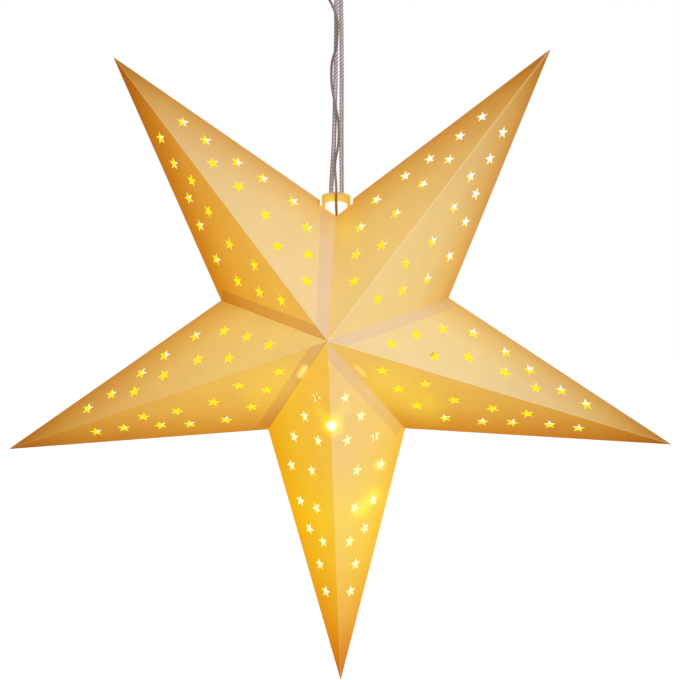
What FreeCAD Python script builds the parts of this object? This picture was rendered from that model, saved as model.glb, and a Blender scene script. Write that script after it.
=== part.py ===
"""Five-pointed folded paper star on a looped cord, lit by a string of lights from a small battery box.

Millimetres, +Z up, the star's front faces -Y. Pieces are worked out from the star's centre. The origin of the
written pieces is the inner top of the hanging loop, HANG_DROP above that centre.
"""
import FreeCAD, Part
import math
import os
from FreeCAD import Vector

# Star
STAR_RADIUS = 300.0        # centre to tip
NOTCH_RADIUS = 101.0       # centre to the notch between two points
TOP_NOTCH_RADIUS = 103.0   # centre to the top notch, where the star is closed
STAR_HALF_DEPTH = 85.0     # centre to the front apex, and to the back one
POINT_PITCH = 71.0         # degrees from point to point, which leaves a wider gap at the top
STAR_LEAN = 1.5            # degrees that the points turn from plumb, anticlockwise seen from the front
PAPER = 0.5                # thickness of the card

# Star-shaped holes, with the share of the edge's length along it and the distance from it
HOLE_RADIUS = 6.0
HOLE_INNER_RADIUS = 2.5
HOLES_ALONG_EDGE = [       # from tip to notch: share, distance, tilt in degrees
    (0.353, 15.5, 0.0),
    (0.461, 18.0, -10.0),
    (0.601, 17.8, 13.5),
    (0.712, 16.4, 1.0),
    (0.851, 18.3, -23.0),
]
HOLES_ALONG_VALLEY = [     # from notch to apex
    (0.187, 24.6, 1.0),
    (0.392, 21.8, -14.5),
    (0.597, 21.5, 0.0),
]
HOLES_ALONG_RIDGE = [      # from tip to apex
    (0.405, 16.2, -18.0),
    (0.4975, 23.0, 36.0),
    (0.604, 27.2, -20.0),
    (0.701, 17.5, -1.0),
]

# Glue flaps inside the valleys
FLAP_WIDTH = 10.5
FLAP_NOTCH_MARGIN = 3.0    # left free at the notch end
CLOSING_FLAP_WIDTH = 14.0  # at the notch end of the seam that closes the star

# Neck: the two top folds are trimmed beside the top notch
NECK_HALF_LENGTH = 14.0
NECK_HALF_WIDTH = 3.3
NECK_DEPTH = 25.0          # how far below the top notch the trimming may reach

# Hanger cap
CAP_WIDTH = 24.0
CAP_DEPTH = 15.0
CAP_HEIGHT = 9.5
CAP_LIFT = 7.0             # underside of the cap above the top notch
CAP_CROWN = 2.5            # rise of the top in the middle
CAP_ARCH = 2.0             # rise of the underside in the middle
CAP_ROUNDING = 1.6
SOCKET_SPACING = 9.0
SOCKET_DEPTH = 5.5
LEG_THICKNESS = 2.6
LEG_WIDTH = 4.8
TOE_REACH = 7.0            # past the leg, under the untrimmed fold
TOE_THICKNESS = 2.8
TOE_GAP = 0.3

# Hanging cord
HANG_DROP = 400.0          # inner top of the loop to the star's centre
CORD_DIAMETER = 3.8
CORD_FIT = 0.1             # radial clearance in a socket, the knot and the lug
LEG_SPACING = 3.9          # between the two legs where they touch
LOOP_WIDTH = 24.0
KNOT_DIAMETER = 13.0
KNOT_HEIGHT = 12.0
KNOT_BOTTOM = 296.0        # above the star's centre
LOOP_START = 330.0         # above the star's centre
LOOP_SHOULDER = 366.0      # above the star's centre
LEFT_LEG = [(-2.6, 156.0), (-1.8, 205.0), (-1.5, 255.0)]   # x and height above the star's centre
RIGHT_LEG = [(2.9, 255.0), (3.6, 205.0), (3.9, 156.0)]
LEG_RISE = 12.0            # straight out of a socket
KNOT_MARGIN = 11.0         # straight below the knot

# Battery box
BOX_WIDTH = 52.0
BOX_DEPTH = 19.0
BOX_HEIGHT = 72.0
BOX_WALL = 1.6
BOX_FRONT = 7.5            # front face behind the cord's plane
BOX_BOTTOM = 302.0         # above the star's centre
BOX_ROUNDING = 3.0
LUG_WIDTH = 16.0
LUG_HEIGHT = 10.0
LUG_REACH = 5.5            # in front of the cord's plane
LUG_ROUNDING = 4.0
BOARD_ROOM = 11.0          # height of the room under the cells
LID_THICKNESS = 1.4
LID_TONGUE = 0.7
LID_GAP = 0.15
THUMB_RIB_COUNT = 5
THUMB_RIB_LENGTH = 14.0
THUMB_RIB_WIDTH = 1.0
THUMB_RIB_HEIGHT = 0.55
THUMB_RIB_PITCH = 2.2
THUMB_RIB_TOP = 9.0        # from the lid's top edge
CELL_PLAY = 0.4            # over a cell's diameter, between front wall and lid
CELL_COUNT = 3
NUB_DIAMETER = 5.5
NUB_HEIGHT = 1.2
CELL_ROUNDING = 0.5
PLATE_THICKNESS = 0.4
PLATE_SIZE = 9.0
SPRING_ROOM = 4.9          # height of a spring between its plate and the cell
SPRING_THICKNESS = 0.4
SPRING_WIDTH = 4.0
SPRING_LENGTH = 7.0
BOARD_LENGTH = 24.0
BOARD_HEIGHT = 10.0
BOARD_THICKNESS = 1.0
SWITCH_LENGTH = 11.0
SWITCH_DEPTH = 5.0
SWITCH_HEIGHT = 8.0
KNOB_LENGTH = 4.0
KNOB_HEIGHT = 3.0
KNOB_PROUD = 1.8
KNOB_TRAVEL = 4.0
KNOB_GAP = 0.3
KNOB_ROUNDING = 0.5
GROMMET_DIAMETER = 6.0
GROMMET_PROUD = 2.0
GROMMET_NECK_DIAMETER = 4.0
GROMMET_TAIL = 1.0         # inside the floor
GROMMET_ROUNDING = 0.6
GROMMET_FRONT_GAP = 0.5    # from the case's front wall
GROMMET_X = -12.0

# Wall openings are cut this much longer than the wall is thick
CUT_MARGIN = 1.0

# Flex and lights
FLEX_WIDTH = 2.2
SLEEVE_DIAMETER = 4.2
SLEEVE_LENGTH = 5.0
LENS_DIAMETER = 3.4
LENS_LENGTH = 2.4

UP = Vector(0, 0, 1)
CARD_NAMES = ["card_upper_left", "card_lower_left", "card_bottom", "card_lower_right", "card_upper_right"]
BOTTOM_POINT = CARD_NAMES.index("card_bottom")

# Points of the flex between the battery box and the neck, after its first LEAD_DROP straight down
LEAD_DROP = 9.0
LEAD_ROUTE = [
    (-9.4, 7.6, 282.5),
    (-5.0, 5.2, 273.5),
    (0.2, 4.3, 263.0),
    (1.0, 4.5, 250.5),
    (-2.0, 4.6, 239.0),
    (-5.9, 2.4, 229.5),
    (-6.7, -1.6, 217.5),
    (-5.0, -4.4, 205.0),
    (-1.0, -4.7, 192.0),
    (1.5, -4.4, 179.0),
    (1.2, -4.2, 163.0),
    (-1.4, -4.5, 146.5),
    (0.9, -6.2, 132.5),
    (0.6, -10.0, 122.5),
    (0.4, -10.2, 113.0),
    (0.3, -5.6, 106.5),
    (0.3, -0.9, 100.5),
]

# Points of the light string's flex inside the star, from the neck on. A light sits halfway along each run.
STRING_ROUTE = [
    (0.3, -0.2, 92.0),
    (4.0, -9.0, 36.0),
    (-30.0, -38.0, 0.0),
    (-14.0, -51.0, -47.0),
    (9.0, -46.0, -88.0),
    (19.0, -19.0, -132.0),
    (33.0, 4.0, -126.0),
    (36.0, 2.0, -84.0),
    (29.0, -32.0, -50.0),
    (32.0, -49.0, -4.0),
    (69.0, -21.0, 19.0),
    (98.0, 6.0, -18.0),
    (52.0, 26.0, -34.0),
]
RUNS_WITHOUT_LIGHT = [5, 10]
LENS_SIDE_SHARE = 0.2      # how much a lens turns sideways, rather than to the star's front or back


def at_angle(radius, degrees):
    """Point of the star's middle plane, degrees anticlockwise from +X seen from the front."""
    turn = math.radians(degrees)
    return Vector(radius * math.cos(turn), 0, radius * math.sin(turn))


def tip_angle(index):
    return 270.0 + STAR_LEAN + (index - BOTTOM_POINT) * POINT_PITCH


def tip_point(index):
    return at_angle(STAR_RADIUS, tip_angle(index))


def notch_point(index):
    """Notch after the point of that index, going anticlockwise; the last one is the top notch."""
    if index % len(CARD_NAMES) == len(CARD_NAMES) - 1:
        return at_angle(TOP_NOTCH_RADIUS, 90.0)
    return at_angle(NOTCH_RADIUS, tip_angle(index % len(CARD_NAMES)) + POINT_PITCH / 2)


def apex_point(side):
    """Front apex for side -1, back apex for side +1."""
    return Vector(0, side * STAR_HALF_DEPTH, 0)


def outward_normal(corners):
    normal = (corners[1] - corners[0]).cross(corners[2] - corners[0]).normalize()
    return normal if normal.dot(corners[0]) > 0 else normal.negative()


def solid_from_faces(polygons):
    faces = [Part.Face(Part.makePolygon(points + [points[0]])) for points in polygons]
    solid = Part.Solid(Part.Shell(faces))
    if solid.Volume < 0:
        solid.reverse()
    return solid


def sheet(polygon, normal, outer_depth, inner_depth):
    """Layer of card under a polygon of the star's outer skin. Its edges point at the star's centre, so two
    neighbours meet face to face along a fold."""
    reach = normal.dot(polygon[0])
    outer = [point * ((reach - outer_depth) / reach) for point in polygon]
    inner = [point * ((reach - inner_depth) / reach) for point in polygon]
    count = len(polygon)
    sides = [[outer[i], outer[(i + 1) % count], inner[(i + 1) % count], inner[i]] for i in range(count)]
    return solid_from_faces([outer, inner] + sides)


def hole_places(tip, notch, apex):
    """Centre and tilt of each hole of one panel."""
    places = []
    for start, end, third, holes in (
        (tip, notch, apex, HOLES_ALONG_EDGE),
        (notch, apex, tip, HOLES_ALONG_VALLEY),
        (tip, apex, notch, HOLES_ALONG_RIDGE),
    ):
        along = (end - start).normalize()
        inward = (third - start) - along * (third - start).dot(along)
        inward = inward.normalize()
        for share, distance, tilt in holes:
            places.append((start + (end - start) * share + inward * distance, tilt))
    return places


def hole_cutter(centre, tilt, upward, sideways, normal):
    """Five-pointed star prism through the card. With no tilt one arm points upward, toward the apex."""
    points = []
    for corner in range(10):
        radius = HOLE_INNER_RADIUS if corner % 2 else HOLE_RADIUS
        turn = math.radians(tilt + corner * 36.0)
        rise = upward * (radius * math.cos(turn))
        shift = sideways * (radius * math.sin(turn))
        points.append(centre + rise - shift + normal * CUT_MARGIN)
    face = Part.Face(Part.makePolygon(points + [points[0]]))
    return face.extrude(normal * -(2 * CUT_MARGIN + PAPER))


def panel(tip, notch, apex):
    """One punched panel of a card."""
    normal = outward_normal([tip, notch, apex])
    upward = (apex - tip).normalize()
    sideways = (notch - tip) - upward * (notch - tip).dot(upward)
    sideways = sideways.normalize()
    cutters = []
    for centre, tilt in hole_places(tip, notch, apex):
        cutters.append(hole_cutter(centre, tilt, upward, sideways, normal))
    return sheet([tip, notch, apex], normal, 0, PAPER).cut(Part.makeCompound(cutters))


def glue_flap(tip, notch, apex, notch_width):
    """Strip glued inside the panel along its valley. It is part of the card on the valley's other side."""
    normal = outward_normal([tip, notch, apex])
    along = (apex - notch).normalize()
    inward = (tip - notch) - along * (tip - notch).dot(along)
    inward = inward.normalize()
    ridge = (tip - apex).normalize()
    ridge_run = FLAP_WIDTH / ridge.dot(inward)
    start = notch + along * FLAP_NOTCH_MARGIN
    polygon = [start, apex, apex + ridge * ridge_run, start + inward * notch_width]
    return sheet(polygon, normal, PAPER, 2 * PAPER)


def neck_cutter():
    return Part.makeBox(
        2 * NECK_HALF_LENGTH, 2 * NECK_HALF_WIDTH, 3 * NECK_DEPTH,
        Vector(-NECK_HALF_LENGTH, -NECK_HALF_WIDTH, TOP_NOTCH_RADIUS - NECK_DEPTH))


def card_solids(index):
    """The four panels of one point, and the flaps that the card glues inside its neighbours."""
    last = len(CARD_NAMES) - 1
    solids = []
    for side in (-1, 1):
        apex = apex_point(side)
        for notch_index in (index, index - 1):
            solids.append(panel(tip_point(index), notch_point(notch_index), apex))
        if index > 0:
            solids.append(glue_flap(tip_point(index - 1), notch_point(index - 1), apex, FLAP_WIDTH))
        if index == last:
            solids.append(glue_flap(tip_point(0), notch_point(last), apex, CLOSING_FLAP_WIDTH))
    if index in (0, last):
        solids = [solid.cut(neck_cutter()) for solid in solids]
    return solids


def height_under_fold(x, y):
    """Height of the card's inner face beside the top notch, for the point on that side of the neck."""
    index = len(CARD_NAMES) - 1 if x > 0 else 0
    corners = [tip_point(index), notch_point(len(CARD_NAMES) - 1), apex_point(-1)]
    normal = outward_normal(corners)
    return (normal.dot(corners[0]) - PAPER - normal.x * x + normal.y * abs(y)) / normal.z


def extruded(points, depth):
    """Outline of (x, z) points, extruded along Y and centred on the cord's plane."""
    corners = [Vector(x, -depth / 2, z) for x, z in points]
    return Part.Face(Part.makePolygon(corners + [corners[0]])).extrude(Vector(0, depth, 0))


def arc_between(start, middle, end):
    return Part.Arc(start, middle, end).toShape()


CAP_BOTTOM = TOP_NOTCH_RADIUS + CAP_LIFT
CAP_TOP = CAP_BOTTOM + CAP_HEIGHT
SOCKET_BOTTOM = CAP_TOP - SOCKET_DEPTH


def cap_body():
    half = CAP_WIDTH / 2
    front = -CAP_DEPTH / 2
    foot = LEG_THICKNESS
    corners = {
        "left_foot": Vector(-half, front, CAP_BOTTOM),
        "left_shoulder": Vector(-half, front, CAP_TOP - CAP_CROWN),
        "crown": Vector(0, front, CAP_TOP),
        "right_shoulder": Vector(half, front, CAP_TOP - CAP_CROWN),
        "right_foot": Vector(half, front, CAP_BOTTOM),
        "right_heel": Vector(half - foot, front, CAP_BOTTOM),
        "arch": Vector(0, front, CAP_BOTTOM + CAP_ARCH),
        "left_heel": Vector(foot - half, front, CAP_BOTTOM),
    }
    outline = Part.Wire([
        Part.makeLine(corners["left_foot"], corners["left_shoulder"]),
        arc_between(corners["left_shoulder"], corners["crown"], corners["right_shoulder"]),
        Part.makeLine(corners["right_shoulder"], corners["right_foot"]),
        Part.makeLine(corners["right_foot"], corners["right_heel"]),
        arc_between(corners["right_heel"], corners["arch"], corners["left_heel"]),
        Part.makeLine(corners["left_heel"], corners["left_foot"]),
    ])
    body = Part.Face(outline).extrude(Vector(0, CAP_DEPTH, 0))
    top_edges = [edge for edge in body.Edges if edge.BoundBox.ZMin > CAP_BOTTOM + 0.01]
    return body.makeFillet(CAP_ROUNDING, [edge for edge in top_edges if not is_arch(edge)])


def is_arch(edge):
    return edge.BoundBox.ZMax < CAP_BOTTOM + CAP_ARCH + 0.01


def cap_leg(side):
    """Leg through the neck with its toe under the untrimmed fold; side -1 is the left one."""
    outer = CAP_WIDTH / 2
    inner = outer - LEG_THICKNESS
    toe_end = outer + TOE_REACH

    def toe_top(x):
        return height_under_fold(side * x, LEG_WIDTH / 2) - TOE_GAP

    outline = [
        (side * inner, CAP_BOTTOM + CAP_ROUNDING),
        (side * outer, CAP_BOTTOM + CAP_ROUNDING),
        (side * outer, toe_top(outer)),
        (side * toe_end, toe_top(toe_end)),
        (side * toe_end, toe_top(toe_end) - TOE_THICKNESS),
        (side * inner, toe_top(inner) - TOE_THICKNESS),
    ]
    return extruded(outline, LEG_WIDTH)


def hanger_cap():
    cap = cap_body().fuse([cap_leg(-1), cap_leg(1)]).removeSplitter()
    for side in (-1, 1):
        place = Vector(side * SOCKET_SPACING / 2, 0, SOCKET_BOTTOM)
        cap = cap.cut(Part.makeCylinder(CORD_DIAMETER / 2 + CORD_FIT, CAP_HEIGHT, place))
    return cap


def tube(name, route, diameter):
    """Round tube along straight runs joined by the largest arcs that the runs allow."""
    points = [Vector(*point) for point in route]
    edges = []
    radii = []
    start = points[0]
    for before, corner, after in zip(points, points[1:], points[2:]):
        back = (before - corner).normalize()
        ahead = (after - corner).normalize()
        half_turn = (math.pi - back.getAngle(ahead)) / 2
        tangent = 0.45 * min((before - corner).Length, (after - corner).Length)
        radius = tangent / math.tan(half_turn)
        arc_start = corner + back * tangent
        arc_end = corner + ahead * tangent
        bisector = (back + ahead).normalize()
        middle = corner + bisector * (radius / math.cos(half_turn) - radius)
        edges.append(Part.LineSegment(start, arc_start).toShape())
        edges.append(Part.Arc(arc_start, middle, arc_end).toShape())
        radii.append(radius)
        start = arc_end
    edges.append(Part.LineSegment(start, points[-1]).toShape())
    path = Part.Wire(edges)
    section = Part.Wire([Part.makeCircle(diameter / 2, points[0], points[1] - points[0])])
    solid = path.makePipeShell([section], True, False)
    expected = math.pi * diameter ** 2 / 4 * path.Length
    print(name, "length", round(path.Length, 1), "volume over section times length",
          round(solid.Volume / expected, 4), "radii", [round(radius, 1) for radius in radii])
    return solid


def hanging_cord():
    """One cord: out of the left socket, through knot and lug, round the loop and into the right socket."""
    socket = SOCKET_SPACING / 2
    leg = LEG_SPACING / 2
    loop = LOOP_WIDTH / 2
    loop_top = HANG_DROP + CORD_DIAMETER / 2
    leg_foot = SOCKET_BOTTOM + LEG_RISE
    knot_foot = KNOT_BOTTOM - KNOT_MARGIN
    left_foot = [(-socket, SOCKET_BOTTOM), (-socket, leg_foot)]
    left_neck = [(-leg, knot_foot), (-leg, LOOP_START)]
    turn = [(-loop, LOOP_SHOULDER), (-loop, loop_top), (loop, loop_top), (loop, LOOP_SHOULDER)]
    right_neck = [(leg, LOOP_START), (leg, knot_foot)]
    right_foot = [(socket, leg_foot), (socket, SOCKET_BOTTOM)]
    places = left_foot + LEFT_LEG + left_neck + turn + right_neck + RIGHT_LEG + right_foot
    return tube("hanging_cord", [(x, 0, z) for x, z in places], CORD_DIAMETER)


def leg_pair_cutter(bottom, height):
    """Slot-shaped hole for both legs of the cord, side by side."""
    radius = CORD_DIAMETER / 2 + CORD_FIT
    left = Part.makeCylinder(radius, height, Vector(-LEG_SPACING / 2, 0, bottom))
    right = Part.makeCylinder(radius, height, Vector(LEG_SPACING / 2, 0, bottom))
    middle = Part.makeBox(LEG_SPACING, 2 * radius, height, Vector(-LEG_SPACING / 2, -radius, bottom))
    return left.fuse([right, middle])


def cord_knot():
    knot = Part.makeCylinder(KNOT_DIAMETER / 2, KNOT_HEIGHT, Vector(0, 0, KNOT_BOTTOM))
    knot = knot.makeFillet(KNOT_HEIGHT / 3, [edge for edge in knot.Edges if len(edge.Vertexes) == 1])
    return knot.cut(leg_pair_cutter(KNOT_BOTTOM - CUT_MARGIN, KNOT_HEIGHT + 2 * CUT_MARGIN))


BOX_LEFT = -BOX_WIDTH / 2
BOX_BACK = BOX_FRONT + BOX_DEPTH
BOX_TOP = BOX_BOTTOM + BOX_HEIGHT
LUG_BOTTOM = KNOT_BOTTOM + KNOT_HEIGHT
SHELF_BOTTOM = BOX_BOTTOM + BOX_WALL + BOARD_ROOM
BAY_BOTTOM = SHELF_BOTTOM + BOX_WALL
BAY_TOP = BOX_TOP - BOX_WALL
BAY_WIDTH = BOX_WIDTH - 2 * BOX_WALL
LID_FRONT = BOX_BACK - 2 * LID_THICKNESS
CELL_DIAMETER = LID_FRONT - BOX_FRONT - BOX_WALL - CELL_PLAY
CELL_Y = (BOX_FRONT + BOX_WALL + LID_FRONT) / 2
CELL_SPACING = BAY_WIDTH / CELL_COUNT
CELL_XS = [(index - (CELL_COUNT - 1) / 2) * CELL_SPACING for index in range(CELL_COUNT)]
LOWER_PLATE_TOP = BAY_BOTTOM + PLATE_THICKNESS
UPPER_PLATE_BOTTOM = BAY_TOP - PLATE_THICKNESS
CELL_LENGTH = UPPER_PLATE_BOTTOM - LOWER_PLATE_TOP - SPRING_ROOM
KNOB_Z = BOX_BOTTOM + BOX_WALL + BOARD_ROOM / 2
KNOB_LEFT = -KNOB_TRAVEL / 2 - KNOB_LENGTH / 2


def lid_shape(clearance, top):
    """Lid outline with its tongues; with a clearance it is the channel that the lid slides in."""
    outer_width = BAY_WIDTH + 2 * clearance
    tongue_width = BAY_WIDTH + 2 * LID_TONGUE + 2 * clearance
    bottom = SHELF_BOTTOM - clearance
    tongue = Part.makeBox(
        tongue_width, LID_THICKNESS + 2 * clearance, top - bottom,
        Vector(-tongue_width / 2, LID_FRONT - clearance, bottom))
    cover = Part.makeBox(
        outer_width, 2 * LID_THICKNESS + clearance, top - bottom,
        Vector(-outer_width / 2, LID_FRONT - clearance, bottom))
    return tongue.fuse(cover).removeSplitter()


def upright_edges(solid, behind):
    """Vertical edges of a box whose place is in front of y = behind."""
    return [edge for edge in solid.Edges if edge.BoundBox.XLength + edge.BoundBox.YLength < CUT_MARGIN
            and edge.BoundBox.YMax < behind]


def case_hollows():
    """Room for the board, bay for the cells, slot for the switch and hole for the grommet."""
    inner_front = BOX_FRONT + BOX_WALL
    board_room = Part.makeBox(
        BAY_WIDTH, BOX_DEPTH - 2 * BOX_WALL, BOARD_ROOM,
        Vector(-BAY_WIDTH / 2, inner_front, BOX_BOTTOM + BOX_WALL))
    cell_bay = Part.makeBox(
        BAY_WIDTH, LID_FRONT - inner_front + CUT_MARGIN, BAY_TOP - BAY_BOTTOM,
        Vector(-BAY_WIDTH / 2, inner_front, BAY_BOTTOM))
    knob_slot = Part.makeBox(
        KNOB_LENGTH + KNOB_TRAVEL + 2 * KNOB_GAP, BOX_WALL + 2 * CUT_MARGIN, KNOB_HEIGHT + 2 * KNOB_GAP,
        Vector(KNOB_LEFT - KNOB_GAP, BOX_BACK - BOX_WALL - CUT_MARGIN, KNOB_Z - KNOB_HEIGHT / 2 - KNOB_GAP))
    grommet_hole = Part.makeCylinder(
        GROMMET_NECK_DIAMETER / 2, BOX_WALL + 2 * CUT_MARGIN,
        Vector(GROMMET_X, grommet_y(), BOX_BOTTOM - CUT_MARGIN))
    return [board_room, cell_bay, knob_slot, grommet_hole]


def battery_case():
    case = Part.makeBox(BOX_WIDTH, BOX_DEPTH, BOX_HEIGHT, Vector(BOX_LEFT, BOX_FRONT, BOX_BOTTOM))
    case = case.makeFillet(BOX_ROUNDING, upright_edges(case, BOX_FRONT + CUT_MARGIN))
    case = case.cut(case_hollows() + [lid_shape(LID_GAP, BOX_TOP + CUT_MARGIN)])
    lug = Part.makeBox(
        LUG_WIDTH, LUG_REACH + BOX_FRONT + BOX_WALL / 2, LUG_HEIGHT,
        Vector(-LUG_WIDTH / 2, -LUG_REACH, LUG_BOTTOM))
    lug = lug.makeFillet(LUG_ROUNDING, upright_edges(lug, 0))
    legs = leg_pair_cutter(LUG_BOTTOM - CUT_MARGIN, LUG_HEIGHT + 2 * CUT_MARGIN)
    return case.fuse(lug).removeSplitter().cut(legs)


def battery_lid():
    lid = lid_shape(0, BOX_TOP)
    ribs = []
    for row in range(THUMB_RIB_COUNT):
        bottom = BOX_TOP - THUMB_RIB_TOP - THUMB_RIB_WIDTH - THUMB_RIB_PITCH * row
        ribs.append(Part.makeBox(
            THUMB_RIB_LENGTH, LID_THICKNESS + THUMB_RIB_HEIGHT, THUMB_RIB_WIDTH,
            Vector(-THUMB_RIB_LENGTH / 2, BOX_BACK - LID_THICKNESS, bottom)))
    return lid.fuse(ribs).removeSplitter()


def cell_flip(index):
    """True where the cell's nub points down: neighbours lie head to tail."""
    return index % 2 == 1


def aa_cell(index):
    """Cell with its nub; the spring holds the flat end, so the nub meets its plate."""
    can_length = CELL_LENGTH - NUB_HEIGHT
    can = Part.makeCylinder(CELL_DIAMETER / 2, can_length)
    can = can.makeFillet(CELL_ROUNDING, [edge for edge in can.Edges if len(edge.Vertexes) == 1])
    cell = can.fuse(Part.makeCylinder(NUB_DIAMETER / 2, CELL_LENGTH)).removeSplitter()
    if cell_flip(index):
        cell.rotate(Vector(0, 0, 0), Vector(1, 0, 0), 180)
        cell.translate(Vector(CELL_XS[index], CELL_Y, LOWER_PLATE_TOP + CELL_LENGTH))
    else:
        cell.translate(Vector(CELL_XS[index], CELL_Y, UPPER_PLATE_BOTTOM - CELL_LENGTH))
    return cell


def contact_springs():
    """One bent leaf per cell, between its flat end and the plate: foot, slope and pad of one strip."""
    half = SPRING_LENGTH / 2
    thick = SPRING_THICKNESS
    pad = SPRING_ROOM - thick
    springs = []
    for index, x in enumerate(CELL_XS):
        bottom = UPPER_PLATE_BOTTOM - SPRING_ROOM if cell_flip(index) else LOWER_PLATE_TOP
        outline = [
            (-half, 0), (half, 0), (half, thick), (2 * thick - half, pad), (half, pad),
            (half, SPRING_ROOM), (-half, SPRING_ROOM), (-half, pad), (half - 2 * thick, thick), (-half, thick),
        ]
        leaf = extruded(outline, SPRING_WIDTH)
        leaf.translate(Vector(x, CELL_Y, bottom))
        springs.append(leaf)
    return springs


def contact_plates():
    plates = []
    for x in CELL_XS:
        for bottom in (BAY_BOTTOM, UPPER_PLATE_BOTTOM):
            corner = Vector(x - PLATE_SIZE / 2, CELL_Y - PLATE_SIZE / 2, bottom)
            plates.append(Part.makeBox(PLATE_SIZE, PLATE_SIZE, PLATE_THICKNESS, corner))
    return plates


def switch_front():
    return BOX_BACK - BOX_WALL - SWITCH_DEPTH


def switch_body():
    body = Part.makeBox(
        SWITCH_LENGTH, SWITCH_DEPTH, SWITCH_HEIGHT,
        Vector(-SWITCH_LENGTH / 2, switch_front(), KNOB_Z - SWITCH_HEIGHT / 2))
    track = Part.makeBox(
        KNOB_LENGTH + KNOB_TRAVEL + 2 * KNOB_GAP, SWITCH_DEPTH / 2 + KNOB_GAP, KNOB_HEIGHT + 2 * KNOB_GAP,
        Vector(KNOB_LEFT - KNOB_GAP, BOX_BACK - BOX_WALL - SWITCH_DEPTH / 2 - KNOB_GAP,
               KNOB_Z - KNOB_HEIGHT / 2 - KNOB_GAP))
    return body.cut(track)


def switch_knob():
    length = KNOB_PROUD + BOX_WALL + SWITCH_DEPTH / 2
    knob = Part.makeBox(
        KNOB_LENGTH, length, KNOB_HEIGHT,
        Vector(KNOB_LEFT, BOX_BACK + KNOB_PROUD - length, KNOB_Z - KNOB_HEIGHT / 2))
    outer = [edge for edge in knob.Edges if edge.BoundBox.YMin > BOX_BACK]
    return knob.makeFillet(KNOB_ROUNDING, outer)


def timer_board():
    return Part.makeBox(
        BOARD_LENGTH, BOARD_THICKNESS, BOARD_HEIGHT,
        Vector(-BOARD_LENGTH / 2, switch_front() - BOARD_THICKNESS, BOX_BOTTOM + BOX_WALL))


def grommet_y():
    return BOX_FRONT + BOX_WALL + GROMMET_DIAMETER / 2 + GROMMET_FRONT_GAP


def flex_grommet():
    """Collar in the case's floor that the flex leaves through."""
    place = Vector(GROMMET_X, grommet_y(), BOX_BOTTOM)
    outer = Part.makeCylinder(GROMMET_DIAMETER / 2, GROMMET_PROUD, place - UP * GROMMET_PROUD)
    lower_rim = [edge for edge in outer.Edges if edge.BoundBox.ZMax < place.z - GROMMET_PROUD / 2]
    outer = outer.makeFillet(GROMMET_ROUNDING, lower_rim)
    neck = Part.makeCylinder(GROMMET_NECK_DIAMETER / 2, BOX_WALL + GROMMET_TAIL, place)
    bore_length = GROMMET_PROUD + BOX_WALL + GROMMET_TAIL + 2 * CUT_MARGIN
    bore = Part.makeCylinder(FLEX_WIDTH / 2, bore_length, place - UP * (GROMMET_PROUD + CUT_MARGIN))
    return outer.fuse(neck).removeSplitter().cut(bore)


def lead_flex():
    """Flex from the battery box: round the cord's left leg, over the cap's front and in at the neck."""
    start = (GROMMET_X, grommet_y(), BOX_BOTTOM - GROMMET_PROUD)
    drop = (GROMMET_X, grommet_y(), BOX_BOTTOM - GROMMET_PROUD - LEAD_DROP)
    return tube("lead_flex", [start, drop] + LEAD_ROUTE + [STRING_ROUTE[0]], FLEX_WIDTH)


def light_frames():
    """Middle and direction of each light: halfway along its run."""
    frames = []
    for run, (first, second) in enumerate(zip(STRING_ROUTE, STRING_ROUTE[1:])):
        if run not in RUNS_WITHOUT_LIGHT:
            start, end = Vector(*first), Vector(*second)
            frames.append(((start + end) * 0.5, (end - start).normalize()))
    return frames


def lens_direction(place, along):
    """Toward the star's front or back, whichever is nearer, and square to the flex."""
    outward = Vector(place.x * LENS_SIDE_SHARE, place.y if place.y else -1, 0)
    outward = outward - along * outward.dot(along)
    return outward.normalize()


def led_sleeves():
    sleeves = []
    for place, along in light_frames():
        start = place - along * (SLEEVE_LENGTH / 2)
        sleeve = Part.makeCylinder(SLEEVE_DIAMETER / 2, SLEEVE_LENGTH, start, along)
        bore = Part.makeCylinder(FLEX_WIDTH / 2, 2 * SLEEVE_LENGTH, place - along * SLEEVE_LENGTH, along)
        sleeves.append(sleeve.cut(bore))
    return sleeves


def led_lenses():
    """Domed lens on the side of each sleeve."""
    lenses = []
    for place, along in light_frames():
        outward = lens_direction(place, along)
        lens = Part.makeCylinder(LENS_DIAMETER / 2, SLEEVE_DIAMETER / 2 + LENS_LENGTH, place, outward)
        tip = place + outward * (SLEEVE_DIAMETER / 2 + LENS_LENGTH)
        lens = lens.fuse(Part.makeSphere(LENS_DIAMETER / 2, tip)).removeSplitter()
        room = Part.makeCylinder(SLEEVE_DIAMETER / 2, 2 * SLEEVE_LENGTH, place - along * SLEEVE_LENGTH, along)
        lenses.append(lens.cut(room))
    return lenses


def write(name, solids):
    """Write one node, moved so that the loop's inner top is the origin."""
    solids = solids if isinstance(solids, list) else [solids]
    shape = solids[0] if len(solids) == 1 else Part.makeCompound(solids)
    shape = shape.copy()
    shape.translate(UP * -HANG_DROP)
    if not shape.isValid():
        print(name, "is not valid")
    shape.exportStep("parts/" + name + ".step")


os.makedirs("parts", exist_ok=True)
for card_index, card_name in enumerate(CARD_NAMES):
    write(card_name, card_solids(card_index))
write("hanger_cap", hanger_cap())
write("hanging_cord", hanging_cord())
write("cord_knot", cord_knot())
write("battery_case", battery_case())
write("battery_lid", battery_lid())
for cell_index in range(len(CELL_XS)):
    write("aa_cell_" + str(cell_index + 1), aa_cell(cell_index))
write("contact_springs", contact_springs())
write("contact_plates", contact_plates())
write("timer_board", timer_board())
write("switch_body", switch_body())
write("switch_knob", switch_knob())
write("flex_grommet", flex_grommet())
write("lead_flex", lead_flex())
write("string_flex", tube("string_flex", STRING_ROUTE, FLEX_WIDTH))
write("led_sleeves", led_sleeves())
write("led_lenses", led_lenses())
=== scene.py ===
"""Looks of the folded paper star pendant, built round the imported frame. Metres, +Z up, front faces -Y."""

import math

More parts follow.
